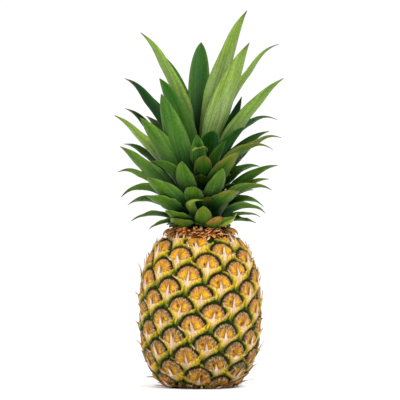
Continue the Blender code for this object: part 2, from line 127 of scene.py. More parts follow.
# The leaves seen from the front: the tip's x, y and z, the x and z of the leaf's middle, the root's
# height, the width and the roll in degrees, then its look in tenths: how light it is, which is its own
# green together with painted light and shade, how much pale bloom it has, most of it underneath, how
# dry its tip is, how orange it is and how blunt it is
FRONT_LEAVES = (
    (46, -38, 374, 26, 326, 232, 29, 22, 8, 8, 5, 0, 0),
    (48, -58, 341, 28, 297, 222, 32, 20, 8, 9, 3, 0, 0),
    (1, 40, 347, -1, 303, 234, 24, 0, 4, 3, 0, 0, 5),
    (-59, -27, 353, -33, 315, 228, 24, 22, 8, 4, 5, 0, 0),
    (-39, 32, 335, -25, 309, 228, 27, 12, 4, 2, 3, 0, 1),
    (78, -18, 342, 51, 316, 220, 19, 20, 8, 5, 9, 0, 0),
    (82, -40, 307, 60, 287, 213, 23, 32, 7, 5, 3, 0, 0),
    (-40, -40, 307, -24, 277, 206, 28, 26, 5, 3, 1, 0, 2),
    (-38, -58, 291, -28, 258, 196, 29, 20, 5, 2, 0, 0, 2),
    (-76, 30, 310, -55, 289, 212, 28, -22, 1, 2, 7, 0, 0),
    (42, 42, 292, 34, 268, 215, 28, 0, 0, 0, 0, 0, 0),
    (-76, 38, 280, -57, 264, 204, 24, -16, 1, 0, 6, 0, 0),
    (-85, -22, 271, -62, 251, 196, 22, 28, 8, 4, 5, 0, 0),
    (-59, -48, 268, -43, 248, 188, 30, 30, 5, 3, 0, 0, 1),
    (78, 22, 268, 57, 266, 204, 26, -14, 2, 1, 8, 0, 0),
    (70, 34, 257, 52, 247, 198, 23, -24, 2, 1, 2, 0, 0),
    (81, -12, 249, 58, 244, 196, 21, 16, 5, 2, 9, 2, 0),
    (72, -34, 237, 53, 240, 190, 24, 14, 5, 2, 5, 2, 0),
    (38, -66, 234, 29, 225, 190, 24, 20, 5, 0, 1, 3, 0),
    (-3, -58, 251, -2, 232, 206, 18, 0, 5, 3, 0, 0, 2),
    (3, -66, 230, 3, 221, 198, 20, 0, 4, 0, 0, 2, 2),
    (-78, 38, 244, -57, 234, 192, 24, -18, 1, 0, 6, 0, 0),
    (-79, -34, 240, -57, 221, 181, 27, 30, 4, 3, 3, 0, 0),
    (-18, -62, 225, -16, 210, 182, 22, 8, 5, 2, 0, 0, 1),
    (-48, -56, 225, -34, 220, 188, 24, 12, 4, 1, 2, 0, 1),
    (22, -62, 218, 17, 203, 178, 22, -6, 5, 3, 0, 0, 1),
    (60, 24, 221, 45, 219, 187, 24, -22, 4, 1, 3, 0, 0),
    (78, 16, 222, 54, 212, 178, 23, -26, 3, 1, 3, 0, 0),
    (-82, -14, 215, -62, 212, 178, 23, 24, 5, 3, 9, 0, 0),
    (-52, -58, 209, -37, 197, 173, 28, 28, 5, 2, 0, 0, 1),
    (69, 4, 208, 51, 203, 177, 23, -18, 6, 1, 3, 0, 0),
    (71, -24, 197, 53, 200, 174, 25, 18, 5, 1, 3, 1, 0),
    (-7, -66, 200, -7, 191, 176, 21, 0, 4, 0, 1, 0, 3),
    (38, -62, 196, 28, 191, 172, 24, 20, 5, 1, 1, 2, 1),
    (-79, -4, 190, -63, 198, 174, 24, 22, 4, 2, 5, 0, 0),
    (-53, -46, 191, -40, 186, 168, 25, 24, 5, 2, 1, 0, 1),
    (64, 24, 180, 50, 187, 173, 22, -22, 5, 2, 4, 0, 0),
    (65, -14, 174, 51, 180, 168, 22, 16, 5, 2, 4, 0, 0),
    (-73, 12, 182, -56, 187, 170, 23, -22, 4, 2, 4, 0, 0),
    (3, -62, 181, 3, 168, 160, 18, 0, 4, 0, 0, 1, 4),
    (-34, -56, 177, -26, 172, 162, 21, 14, 5, 0, 1, 0, 1),
    (-69, 2, 166, -52, 172, 166, 20, 10, 4, 2, 3, 0, 0),
    (34, -46, 171, 26, 166, 160, 21, 12, 5, 0, 2, 1, 1),
    (56, 6, 164, 43, 167, 166, 18, -12, 5, 1, 3, 0, 0),
    (-51, -20, 158, -39, 164, 166, 20, 14, 4, 1, 3, 0, 0),
    (-24, -46, 169, -19, 163, 160, 26, 0, 4, 0, 2, 1, 3),
    (18, -44, 171, 14, 162, 160, 20, 0, 5, 0, 5, 9, 3),
    # Three that show only in part, and three narrow pale tips that curl over in front
    (12, -54, 255, 10, 245, 206, 24, 0, 2, 0, 0, 0, 3),
    (25, -61, 245, 18, 235, 200, 15, 8, 4, 2, 0, 0, 0),
    (45, -46, 259, 32, 248, 206, 20, 20, 2, 0, 3, 0, 1),
    (-8, -65, 235, 1, 238, 220, 13, 0, 10, 1, 0, 1, 0),
    (3, -63, 187, -9, 184, 166, 11, 0, 10, 1, 0, 0, 0),
    (36, -44, 174, 31, 167, 162, 9, 10, 10, 1, 0, 0, 0),
)

# Short broad leaves round the crown's foot. A pair is the least and the most, and LOOKS has one for
# each number of a leaf's look
FOOT_LEAVES = 17
FOOT_ROOT_Z = 159.8
FOOT_REACH = (30.0, 37.0)
FOOT_RISE = (-2.6, 4.0)
FOOT_ARCH = 1.5
FOOT_WIDTH = (15.0, 20.0)
FOOT_LOOKS = ((0.1, 0.4), (0.0, 0.1), (0.0, 0.3), (0.0, 0.3), (0.1, 0.5))

# Short leaves that fill the crown between the long ones, painted dark as the shade deep inside it
INNER_LEAVES = 36
INNER_ROOTS = (167.0, 222.0)
INNER_REACH = (12.0, 19.0)
INNER_RISE = (8.0, 22.0)
INNER_ARCH = 2.0
INNER_WIDTH = (16.0, 21.0)
INNER_LOOKS = ((0.0, 0.2), (0.0, 0.05), (0.0, 0.2), (0.0, 0.1), (0.1, 0.3))

# The leaves round the back, where each pair before LOOKS is the lowest and the highest leaf's
BACK_LEAVES = 26
BACK_HALF_SPREAD = (radians(84.0), radians(40.0))
BACK_ROOTS = (166.0, 226.0)
BACK_REACH = (62.0, 80.0)
BACK_RISE = (4.0, 96.0)
BACK_WIDTH = (18.0, 25.0)
BACK_ARCH = 0.10
BACK_LOOKS = ((0.25, 0.7), (0.1, 0.5), (0.1, 0.7), (0.0, 0.15), (0.0, 0.2))
CROWN_SEED = 11
GOLDEN_SHARE = 0.618034

# Collar of dry bracts: each ring's number, root radius and height, length and slope in degrees, the
# core's radius at heights, the hooks over the shoulder, and the map's cells
COLLAR_BASE_Z = 149.8
COLLAR_RINGS = (
    (40, 31.0, 0.8, 8.0, -8.0),
    (40, 30.0, 2.6, 7.5, 6.0),
    (38, 29.0, 4.4, 7.0, 18.0),
    (34, 27.5, 6.2, 6.5, 30.0),
    (28, 25.5, 7.8, 6.0, 40.0),
)
COLLAR_CORE = ((0.5, 0.0), (32.5, 0.0), (31.9, 2.0), (29.5, 5.0), (25.5, 8.8), (0.5, 8.8))
CORE_COLUMNS = 72
HOOK_ANGLES = (-78.0, -58.0, 60.0, 79.0, 116.0, 152.0, 188.0, 221.0, 256.0)
HOOK_RADIUS = 26.0
DRY_ROWS = 8
COLLAR_CELLS = (16, 17)
CORE_CELLS = 32
COLLAR_SEED = 5

# Stage: each light's place, aim, size and power, then the camera
LIGHTS = {
    "key": ((0.7, -1.6, 1.7), (0.0, 0.0, 0.18), 0.8, 44.0),
    "fill": ((-1.6, -1.2, 0.8), (0.0, 0.0, 0.18), 1.2, 12.0),
    "back": ((-0.3, 1.8, 1.4), (0.0, 0.0, 0.2), 1.0, 12.0),
}
WORLD_LIGHT = 1.04
FLOOR_HALF = 8.0
CAMERA_PLACE = (-0.0002, -2.78, 0.187)
CAMERA_LENS = 250.0


# Colours

# A paint's share of the light that it shows in the studio, and painted shade on the skin at heights
PAINT_SHARE = 0.64
SKIN_HEIGHTS = (10.0, 70.0, 140.0)
SKIN_PAINTED_SHADE = (0.72, 1.03, 0.98)


def paint(red, green, blue, hair):
    """A colour from 0 to 255 as it shows in the studio's light, as the linear numbers of its paint.

    The fourth number is how much the fine hairlines show on it.
    """
    share = np.array((red, green, blue), float) / 255.0
    linear = np.where(share <= 0.04045, share / 12.92, ((share + 0.055) / 1.055) ** 2.4)
    return np.append(PAINT_SHARE * linear, hair)


GROOVE = paint(14, 50, 8, 0.2)
OUTLINE = paint(18, 24, 4, 0.2)
EYE_TAN = paint(208, 136, 66, 0.65)
EYE_RIM = paint(164, 104, 80, 0.85)
EYE_RIM_GREY = paint(108, 98, 74, 0.85)
EYE_RIM_PALE = paint(226, 172, 128, 0.55)
EYE_GOLD = paint(252, 188, 10, 0.3)
EYE_AMBER = paint(178, 96, 26, 0.6)
BRACT_YELLOW = paint(255, 206, 18, 0.5)
BRACT_CREAM = paint(255, 214, 168, 0.35)
BRACT_GREEN = paint(72, 130, 10, 0.5)
SPINE_CREAM = paint(255, 228, 206, 0.3)
SPINE_TIP = paint(112, 72, 40, 0.6)
FOOT_SCAR = paint(88, 58, 22, 1.0)
HOLE_BROWN = paint(40, 18, 4, 0.2)
HAIR_PALE = paint(252, 208, 92, 0.0)
HAIR_DARK = paint(62, 46, 6, 0.0)
LEAF_DARK = paint(2, 50, 14, 0.15)
LEAF_MID = paint(34, 106, 22, 0.3)
LEAF_LIGHT = paint(150, 184, 76, 0.7)
LEAF_BLOOM = paint(178, 198, 132, 1.0)
LEAF_YELLOW = paint(160, 178, 40, 0.5)
LEAF_RIM = paint(104, 118, 70, 0.4)
# Painted shade for the crown's dark inside
LEAF_PAINTED_SHADE = paint(0, 26, 8, 0.1)
LEAF_TIP = paint(108, 86, 46, 0.3)
LEAF_ORANGE = paint(190, 126, 58, 0.5)
DRY_SHADES = (
    paint(226, 108, 46, 0.6),
    paint(250, 156, 76, 0.7),
    paint(250, 204, 116, 0.8),
    paint(255, 210, 152, 0.7),
    paint(148, 64, 32, 0.6),
)
DRY_CORE = paint(124, 46, 14, 1.0)
STALK_DARK = paint(112, 76, 44, 1.0)
STALK_PALE = paint(206, 176, 128, 1.0)
HOOK_OLIVE = paint(76, 66, 16, 0.7)

# The collar's shades by number, the common ones more often, and the foot scales' shades
COLLAR_MIX = (0, 1, 1, 1, 2, 3, 3, 4)
FOOT_SHADES = (*DRY_SHADES[:2], *DRY_SHADES[3:], SPINE_TIP, FOOT_SCAR, OUTLINE)


def wave(low, high, value):
    """0 below low and 1 above high, with a smooth step between."""
    t = np.clip((value - low) / (high - low), 0, 1)
    return t * t * (3 - 2 * t)


def tint(colours, *layers):
    """The colours moved to each layer's colour in turn, by a share from 0 to 1 at each point."""
    for colour, share in layers:
        colours = colours + (colour - colours) * np.clip(share, 0, 1)[..., None]
    return colours


def spot(x, y=0):
    """1 in the middle of a soft spot, and near 0 at a distance of 2."""
    return np.exp(-(x**2) - y**2)


def leaf_green(tone):
    """From a dark to a light green, by a number from 0 to 1."""
    return tint(LEAF_DARK, (LEAF_MID, 2 * tone), (LEAF_LIGHT, 2 * tone - 1))


# Meshes


def new_object(name, data):
    obj = bpy.data.objects.new(name, data)
    bpy.context.scene.collection.objects.link(obj)
    return obj


class Piece:
    """Collects points and faces, with a colour and a place for the streaks at each point."""

    def __init__(self):
        self.points, self.colours, self.places = [], [], []
        self.faces, self.corners = [], []
        self.count = 0

    def add_points(self, points, colours, places):
        first = self.count
        self.points.append(np.asarray(points, float).reshape(-1, 3))
        self.colours.append(np.broadcast_to(colours, (*np.shape(points)[:-1], 4)).reshape(-1, 4))
        self.places.append(np.asarray(places, float).reshape(-1, 3))
        self.count += len(self.points[-1])
        return first

    def add_net(self, rings, colours, places, area):
        """Faces between closed rings of points, on the part of the map given as x, y, width, height."""
        rows, columns = np.shape(rings)[:2]
        first = self.add_points(rings, colours, places)
        x, y, width, height = area
        for row in range(rows - 1):
            low, high = y + height * row / (rows - 1), y + height * (row + 1) / (rows - 1)
            here = first + row * columns
            for column in range(columns):
                after = (column + 1) % columns
                face = (column, after, columns + after, columns + column)
                self.faces.append(tuple(here + corner for corner in face))
                left, right = x + width * column / columns, x + width * (column + 1) / columns
                self.corners.append(((left, low), (right, low), (right, high), (left, high)))
        return first

    def add_tube(self, rings, colours, places, area):
        """A net with a cap at each end."""
        rows, columns = np.shape(rings)[:2]
        first = self.add_net(rings, colours, places, area)
        last = first + (rows - 1) * columns
        self.faces += [tuple(range(first + columns - 1, first - 1, -1)), tuple(range(last, last + columns))]
        self.corners += [(area[:2],) * columns, ((area[0], area[1] + area[3]),) * columns]

    def add_fan(self, ring, height, colour, corner):
        """Triangles from a ring of points, given by their numbers, to a point on the axis."""
        middle = self.add_points([(0, 0, height)], [colour], [(0, 0, 0)])
        ring = list(ring)
        for here, there in zip(ring, ring[1:] + ring[:1]):
            self.faces.append((here, there, middle))
            self.corners.append((corner,) * 3)

    def build(self, name, material, node):
        """The mesh as one piece of the visual model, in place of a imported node."""
        mesh = bpy.data.meshes.new(name)
        mesh.from_pydata((np.concatenate(self.points) * MM).tolist(), [], self.faces)
        mesh.shade_smooth()
        colour = mesh.attributes.new("tint", "FLOAT_COLOR", "POINT")
        colour.data.foreach_set("color", np.concatenate(self.colours).astype(np.float32).ravel())
        place = mesh.attributes.new("place", "FLOAT_VECTOR", "POINT")
        place.data.foreach_set("vector", np.concatenate(self.places).astype(np.float32).ravel())
        layer = mesh.uv_layers.new(name="OFBake")
        flat = [value for face in self.corners for corner in face for value in corner]
        layer.data.foreach_set("uv", np.array(flat, np.float32))
        mesh.materials.append(material)
        mesh.validate()
        obj = new_object(name, mesh)
        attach(obj, "root")
        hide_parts(node)


def map_cell(number, across, down):
    """A cell of a grid on the map, as x, y, width and height, with a small margin."""
    column, row = number % across, number // across
    width, height = 1 / across, 1 / down
    return (column + 0.03) * width, (row + 0.03) * height, 0.94 * width, 0.94 * height


def turn_angles(count):
    return 2 * pi * np.arange(count) / count


def rows_of(*values):
    """A row for each point, from arrays and from numbers that hold for all points."""
    return np.stack(np.broadcast_arrays(*values), axis=-1)


def points_round(angles, radius, height):
    """Points round the axis, by their angles from the front."""
    return rows_of(radius * np.sin(angles), -radius * np.cos(angles), height)


def streak_places(across, along, seed, under_seed):
    """Places for the streaks over and under a line of points, so that they run along the growth."""
    over = rows_of(across, along, seed)
    return np.concatenate([over, over[::-1] + (0, 0, under_seed)])


# Materials


class Nodes:
    """A material's node tree, with short calls for its nodes."""

    def __init__(self, name):
        self.material = bpy.data.materials.new(name)
        self.material.use_nodes = True
        self.tree = self.material.node_tree
        self.shader = self.tree.nodes["Principled BSDF"]

    def add(self, kind, output, inputs, **settings):
        """A new node's output. Each input is a value or another node's output."""
        node = self.tree.nodes.new("ShaderNode" + kind)
        for name, value in settings.items():
            setattr(node, name, value)
        for name, value in inputs.items():
            if isinstance(value, bpy.types.NodeSocket):
                self.tree.links.new(value, node.inputs[name])
            else:
                node.inputs[name].default_value = value
        return node.outputs[output]

    def attribute(self, name, output):
        return self.add("Attribute", output, {}, attribute_name=name)

    def object_place(self):
        return self.add("TexCoord", "Object", {})

    def noise(self, vector, scale, detail):
        inputs = {"Vector": vector, "Scale": scale, "Detail": detail, "Roughness": 0.6}
        return self.add("TexNoise", "Fac", inputs)

    def spread(self, value, low, high, start=0.3, end=0.7):
        limits = {"From Min": start, "From Max": end, "To Min": low, "To Max": high}
        return self.add("MapRange", "Result", {"Value": value, **limits})

    def multiply(self, first, second):
        return self.add("Math", "Value", {0: first, 1: second}, operation="MULTIPLY")

    def scale_colour(self, colour, factor):
        return self.add("VectorMath", "Vector", {0: colour, "Scale": factor}, operation="SCALE")

    def mix(self, factor, colour, other):
        inputs = {"Factor": factor, "A": colour, "B": (*other[:3], 1)}
        return self.add("Mix", "Result", inputs, data_type="RGBA")

    def bump(self, height, strength, distance, **normal):
        inputs = {"Height": height, "Strength": strength, "Distance": distance, **normal}
        return self.add("Bump", "Normal", inputs)

    def finish(self, colour, roughness, gloss, normal):
        """Links the shader and returns the material."""
        for name, value in (("Base Color", colour), ("Roughness", roughness), ("Normal", normal)):
            self.tree.links.new(value, self.shader.inputs[name])
        self.shader.inputs["Specular IOR Level"].default_value = gloss
        return self.material


def plant_finish(name, streaks, grains, grain_size, relief, pale, dark, roughness, gloss):
    """A finish that streaks along each piece's own growth and is mottled all over.

    streaks and grains are the darkest and lightest factors, and relief is the streaks' depth. pale
    and dark are the colours of fine hairlines along the growth, with their shares.
    """
    nodes = Nodes(name)
    place = nodes.attribute("place", "Vector")
    streak = nodes.noise(place, scale=1, detail=3)
    hair = nodes.noise(place, scale=2.7, detail=2)
    hairy = nodes.attribute("tint", "Alpha")
    grain = nodes.noise(nodes.object_place(), scale=1 / grain_size, detail=4)
    light = nodes.multiply(nodes.spread(streak, *streaks), nodes.spread(grain, *grains))
    colour = nodes.scale_colour(nodes.attribute("tint", "Color"), light)
    pale_share = nodes.multiply(nodes.spread(hair, 0, pale[1], start=0.53, end=0.66), hairy)
    dark_share = nodes.multiply(nodes.spread(hair, dark[1], 0, start=0.34, end=0.46), hairy)
    colour = nodes.mix(dark_share, nodes.mix(pale_share, colour, pale[0]), dark[0])
    fine = nodes.bump(grain, 0.5, relief * 0.6)
    coarse = nodes.bump(streak, 0.8, relief, Normal=fine)
    hairlines = nodes.bump(hair, 0.6, relief * 0.5, Normal=coarse)
    return nodes.finish(colour, nodes.spread(grain, *roughness), gloss, hairlines)


def stalk_finish():
    """Pale cut fibres in rings, with darker and lighter patches."""
    nodes = Nodes("cut_stalk_wood")
    fibres = nodes.noise(nodes.object_place(), scale=1400, detail=3)
    patches = nodes.noise(nodes.object_place(), scale=180, detail=3)
    waves = {"Vector": nodes.object_place(), "Scale": 130, "Distortion": 5, "Detail": 3}
    rings = nodes.add("TexWave", "Fac", waves, wave_type="RINGS", rings_direction="Z")
    colour = nodes.add("ValToRGB", "Color", {"Fac": nodes.spread(fibres, 0, 1)})
    for stop, shade in zip(colour.node.color_ramp.elements, (STALK_DARK, STALK_PALE)):
        stop.color = (*shade[:3], 1)
    rings = nodes.spread(rings, 0.75, 1, start=0, end=1)
    colour = nodes.scale_colour(colour, nodes.multiply(rings, nodes.spread(patches, 0.7, 1.05)))
    return nodes.finish(colour, nodes.spread(fibres, 0.7, 0.95), 0.2, nodes.bump(fibres, 0.8, 0.0006))


# Fruit


def direction(azimuth):
    """The level direction at an angle from the front, turning to the right."""
    return np.array([sin(azimuth), -cos(azimuth), 0])


class Skin:
    """The fruit's skin at its grooves, from the foot's centre up its side to the middle of its top."""

    def __init__(self):
        lower = self.arc(WIDEST_Z, LOWER_END_Z, LOWER_POWER, 0)[::-1]
        upper = self.arc(WIDEST_Z, UPPER_END_Z, UPPER_POWER, FRUIT_TOP_Z)
        side = lower + upper[1:]
        foot = [(side[0][0] * t, 0) for t in np.linspace(0, 1, FLAT_POINTS)[:-1]]
        top = [(side[-1][0] * t, FRUIT_TOP_Z) for t in np.linspace(1, 0, FLAT_POINTS)[1:]]
        self.r, self.z = np.array(foot + side + top).T
        step = np.hypot(np.diff(self.r), np.diff(self.z))
        self.s = np.concatenate([[0], np.cumsum(step)])
        ring = pi * (self.r[1:] + self.r[:-1]) * step
        area = np.concatenate([[0], np.cumsum(ring)])
        rising = self.z + np.linspace(0, 1e-6, len(self.z))
        self.eye = (area - np.interp(FIRST_EYE_Z, rising, area)) / EYE_AREA
        self.foot_s = self.s[len(foot)]
        self.top_s = self.s[-len(top) - 1]
        slope = np.hypot(np.gradient(self.r), np.gradient(self.z))
        self.out_r = np.gradient(self.z) / slope
        self.out_z = -np.gradient(self.r) / slope

    @staticmethod
    def arc(start, end, power, stop):
        """Half a superellipse from its widest point towards its end, as far as the height stop."""
        reach = abs(stop - start) / abs(end - start)
        points = []
        for t in np.linspace(0, 1, ARC_POINTS):
            share = reach * sin(t * pi / 2)
            radius = FRUIT_RADIUS * (1 - share**power) ** (1 / power)
            points.append((radius, start + share * (end - start)))
        return points

    def at(self, s):
        """Radius, height and outward direction at a length along the skin."""
        return [np.interp(s, self.s, line) for line in (self.r, self.z, self.out_r, self.out_z)]

    def point(self, s, angle, rise):
        """The point that stands out of the skin by rise."""
        radius, height, out_r, out_z = self.at(s)
        return points_round(angle, radius + rise * out_r, height + rise * out_z)


class Eye:
    """One fruitlet, with its own small differences from the rest.

    grey and green are how dull its rim and how green its bract are, both stronger near the foot.
    hole is the side on which its dome has a small hole, or 0 for none.
    """

    def __init__(self, number, skin, draw):
        self.s = np.interp(number, skin.eye, skin.s) + draw.uniform(-0.5, 0.5)
        radius, height = skin.at(self.s)[:2]
        self.angle = FIRST_EYE_ANGLE + number * GOLDEN_ANGLE + draw.uniform(-0.5, 0.5) / radius
        tilt = radians(draw.uniform(-7, 7))
        self.turn = (cos(tilt), sin(tilt))
        self.size = draw.uniform(0.95, 1.04)
        level = height / FRUIT_TOP_Z
        self.grey = min((1.15 - 0.75 * level) * draw.uniform(0.7, 1.2), 1.25)
        self.green = min((1.05 - 0.45 * level) * draw.uniform(0.7, 1.2), 1.2)
        self.amber = draw.uniform(0.3, 1)
        self.lean = draw.uniform(-1, 1)
        self.warm = draw.uniform(0, 1) ** 2
        self.seed = draw.uniform(0, 90)
        self.hole = draw.choice((-1, 0, 0, 0, 1))
        self.hole_y = draw.uniform(-0.5, 4)

    def place(self, across, up):
        """Distances from the eye's centre, as this eye is turned and sized."""
        c, s = self.turn
        return (across * c + up * s) / self.size, (up * c - across * s) / self.size

    def turned(self, x, y):
        """Lengths across and up for a line that is given in the eye's own directions."""
        c, s = self.turn
        return x * c - y * s, y * c + x * s

    def lip(self, x):
        """Height of the bract's upper edge, which crosses the dome."""
        return 0.028 * x * x - 2.8 + 0.4 * np.sin(x * 1.5 + self.seed)

    def dome_share(self, x, y):
        """0 at the dome's centre and 1 at its rim; large where the bract covers the dome."""
        share = np.hypot(x / DOME_HALF[0], y / DOME_HALF[1])
        return np.where(y > self.lip(x), share, OUTSIDE)

    def bract_share(self, x, y):
        """0 on the bract's middle line and 1 at its sides; large elsewhere."""
        length = np.clip((y - BRACT_FOOT_Y) / (BRACT_HEAD_Y - BRACT_FOOT_Y), 0, 1)
        half = np.maximum(BRACT_HALF * length**0.8, 0.01)
        return np.where((y <= self.lip(x)) & (y > BRACT_FOOT_Y), np.abs(x) / half, OUTSIDE)

    def dome(self, x, y):
        """How far the dome stands out, and its colours."""
        share = np.hypot(x / DOME_HALF[0], y / DOME_HALF[1])
        turn = np.arctan2(x, y)
        bend = 4 * share + np.sin(3 * share + self.seed)
        ridges = np.sin(turn * 8 + self.seed + bend) + 0.7 * np.sin(turn * 15 + 2 * self.seed - bend)
        jagged = np.sin(turn * 23 + 3 * self.seed) + np.sin(turn * 37 + self.seed)
        # Steep at the rim, a little sunk in the middle, with fine ridges between
        inner = np.clip((1 - share) / 0.3, 0, 1)
        rise = DOME_RISE * (1 - (1 - inner) ** 2.2) - 0.8 * spot(share / 0.45)
        rise = rise + 0.16 * ridges * wave(0.25, 0.6, share) * wave(1, 0.85, share)
        # Gold lobes on both sides of an amber middle
        lobes = spot((np.abs(x) - 4.6) / 2.8, (y - 1.5 + 0.3 * x * self.lean) / 3.6)
        middle = spot(x / 2.4, (y - 2.5) / 5)
        # A dull rim with pale flecks, wider on a greyer eye
        rim_start = 0.72 - 0.28 * self.grey
        rim = wave(rim_start, rim_start + 0.24, share + 0.05 * ridges + 0.03 * jagged)
        flecks = 0.4 * wave(0.3, 1.4, ridges) * wave(rim_start - 0.1, rim_start + 0.1, share)
        flecks = flecks + 0.45 * wave(-0.2, 1.2, jagged) * wave(0.78, 0.84, share)
        hole = spot((x - 3 * self.hole) / 0.9, (y - self.hole_y) / 1.5) * abs(self.hole)
        colours = tint(
            EYE_GOLD,
            (EYE_TAN, 0.35 + 0.5 * self.grey),
            (EYE_AMBER, 0.35 * self.warm),
            (EYE_GOLD, (1.35 - 0.5 * self.grey) * lobes),
            (EYE_AMBER, self.amber * middle),
            (tint(EYE_RIM, (EYE_RIM_GREY, 1.6 * (self.grey - 0.45))), rim * (0.65 + 0.35 * self.grey)),
            (EYE_RIM_PALE, flecks),
            # Painted shadow of the bract's lip: amber-brown on the dome just above it
            (EYE_AMBER, 0.75 * wave(1.5, 0, y - self.lip(x))),
            (OUTLINE, wave(0.88, 0.91, share + 0.028 * jagged)),
            (HOLE_BROWN, 1.3 * hole),
        )
        return rise - 1.6 * hole, colours

    def bract(self, x, y, gap):
        """How far the pointed bract below the dome stands out, and its colours.

        The gap is how far the next domes' rims are, as a share of a dome's size.
        """
        turn = np.arctan2(x, 3 - y)
        fan = np.sin(turn * 19 + self.seed) + 0.6 * np.sin(turn * 37 + 2 * self.seed)
        reach = np.hypot(x * 0.85, y + 2.8) + 0.9 * fan
        wings = 1 - 0.45 * np.clip(np.abs(x) / BRACT_HALF, 0, 1) ** 1.6
        rise = (1 + 2.8 * wave(-16, -3, y)) * wings * wave(-0.05, 0.2, gap)
        rise = rise + 0.7 * spot(x / 1.7) * wave(-15, -6, y) + 0.1 * fan
        rays = np.sin(turn * 27 + 3 * self.seed) + np.sin(turn * 45 + self.seed)
        heart = spot(x / (3.4 + 1.2 * fan), (y + 5.5) / 4.4)
        heart = heart + 0.7 * spot(x / 8.5) * wave(2.4, 0.5, self.lip(x) - y)
        # Green and dark rays away from the cream heart, but pale wings beside the dome
        wing = wave(3.4, 1.2, self.lip(x) - y) * wave(4, 8, np.abs(x))
        green = wave(5.5, 12, reach + fan) * 0.8 + 0.95 * wave(0.4, 0.08, gap + 0.05 * fan)
        dark = 0.85 * wave(-0.1, 0.9, rays) * wave(3.5, 8, reach) * self.green
        dark = np.maximum(dark, 0.9 * wave(8.5, 14.5, reach + 1.2 * fan) * wave(13, 9, np.abs(x)))
        colours = tint(
            BRACT_YELLOW,
            (BRACT_CREAM, np.minimum(1.2 * heart + 0.12 * rays, 0.95)),
            (BRACT_GREEN, np.minimum(green * self.green, 1) * (1 - 0.6 * wing)),
            (GROOVE, np.minimum(dark, 1) * (1 - 0.8 * wing)),
            (OUTLINE, wave(0.18, 0.07, gap + 0.02 * fan + 0.012 * rays) * (1 - 0.7 * wing)),
        )
        return rise, colours


def skin_eyes(skin):
    draw = random.Random(EYE_SEED)
    lowest = ceil(np.interp(skin.foot_s - 4, skin.s, skin.eye))
    highest = floor(np.interp(skin.top_s + 6, skin.s, skin.eye))
    return [Eye(number, skin, draw) for number in range(lowest, highest + 1)]


def skin_fields(skin, eyes, s, angle):
    """At each place of the skin: how far it stands out, its colour, and its place for the streaks."""
    radius = skin.at(s)[0]
    near_dome, near_bract = np.full(len(s), OUTSIDE), np.full(len(s), 1.0)
    dome_eye, bract_eye = np.full(len(s), -1), np.full(len(s), -1)
    found = []
    for k, eye in enumerate(eyes):
        across = ((angle - eye.angle + pi) % (2 * pi) - pi) * radius
        up = s - eye.s
        numbers = np.flatnonzero((np.abs(across) < REACH_ACROSS) & (up > REACH_UP[0]) & (up < REACH_UP[1]))
        x, y = eye.place(across[numbers], up[numbers])
        found.append((numbers, x, y))
        for shares, nearest, owner in (
            (eye.dome_share(x, y), near_dome, dome_eye),
            (eye.bract_share(x, y), near_bract, bract_eye),
        ):
            wins = shares < nearest[numbers]
            nearest[numbers[wins]] = shares[wins]
            owner[numbers[wins]] = k
    rise = np.zeros(len(s))
    colours = np.tile(GROOVE, (len(s), 1))
    places = np.zeros((len(s), 3))
    on_dome = near_dome < 1
    for k, (eye, (numbers, x, y)) in enumerate(zip(eyes, found)):
        own = on_dome[numbers] & (dome_eye[numbers] == k)
        spots, own_x, own_y = numbers[own], x[own], y[own]
        rise[spots], colours[spots] = eye.dome(own_x, own_y)
        places[spots] = rows_of(np.arctan2(own_x, own_y) * 4, np.hypot(own_x, own_y) * 0.12, eye.seed)
        own = ~on_dome[numbers] & (bract_eye[numbers] == k)
        spots, own_x, own_y = numbers[own], x[own], y[own]
        rise[spots], colours[spots] = eye.bract(own_x, own_y, near_dome[spots] - 1)
        places[spots] = rows_of(own_x * 0.9, own_y * 0.14, eye.seed + 40)
    return rise, colours, places


def build_fruit(skin, eyes, material):
    foot = np.linspace(HOLLOW_RADIUS, skin.foot_s, FOOT_ROWS)[:-1]
    side = np.linspace(skin.foot_s, skin.top_s, SIDE_ROWS)
    top = np.linspace(skin.top_s, skin.s[-1] - TOP_FAN, TOP_ROWS)[1:]
    rows = np.concatenate([foot, side, top])
    angles = turn_angles(SKIN_COLUMNS)
    s, angle = (grid.ravel() for grid in np.meshgrid(rows, angles, indexing="ij"))
    rise, colours, places = skin_fields(skin, eyes, s, angle)
    on_side = wave(skin.foot_s + 0.5, skin.foot_s + 11, s) * wave(skin.top_s + 1, skin.top_s - 5, s)
    points = skin.point(s, angle, rise * on_side)
    points[:, 2] = np.clip(points[:, 2], 0, FRUIT_TOP_Z)
    mottle = np.sin(angle * 31 + s) + np.sin(angle * 17 - 0.7 * s)
    # Darker towards the foot: partly the skin's own green, partly painted shade under the fruit
    dark = 0.5 * wave(skin.foot_s + 30, skin.foot_s + 8, s + 3 * mottle)
    scarred = 0.9 * wave(skin.foot_s + 16, skin.foot_s, s + 2 * mottle)
    colours = tint(colours, (GROOVE, dark), (FOOT_SCAR, scarred))
    # Painted shade: the skin's colour is darker towards the foot
    colours[:, :3] *= np.interp(points[:, 2], SKIN_HEIGHTS, SKIN_PAINTED_SHADE)[:, None]
    shape = (len(rows), SKIN_COLUMNS, -1)
    points, colours, places = (field.reshape(shape) for field in (points, colours, places))
    piece = Piece()
    first = piece.add_net(
        np.concatenate([[points_round(angles, HOLLOW_RADIUS, HOLLOW_TOP_Z)], points]),
        np.concatenate([np.tile(FOOT_SCAR, (1, SKIN_COLUMNS, 1)), colours]),
        np.concatenate([places[:1], places]),
        (0, 0.01, 1, 0.98),
    )
    last = first + len(rows) * SKIN_COLUMNS
    piece.add_fan(range(last, last + SKIN_COLUMNS), FRUIT_TOP_Z, FOOT_SCAR, (0.5, 0.995))
    piece.add_fan(range(first + SKIN_COLUMNS - 1, first - 1, -1), HOLLOW_TOP_Z, FOOT_SCAR, (0.5, 0.005))
    piece.build("fruit_skin", material, "fruit")


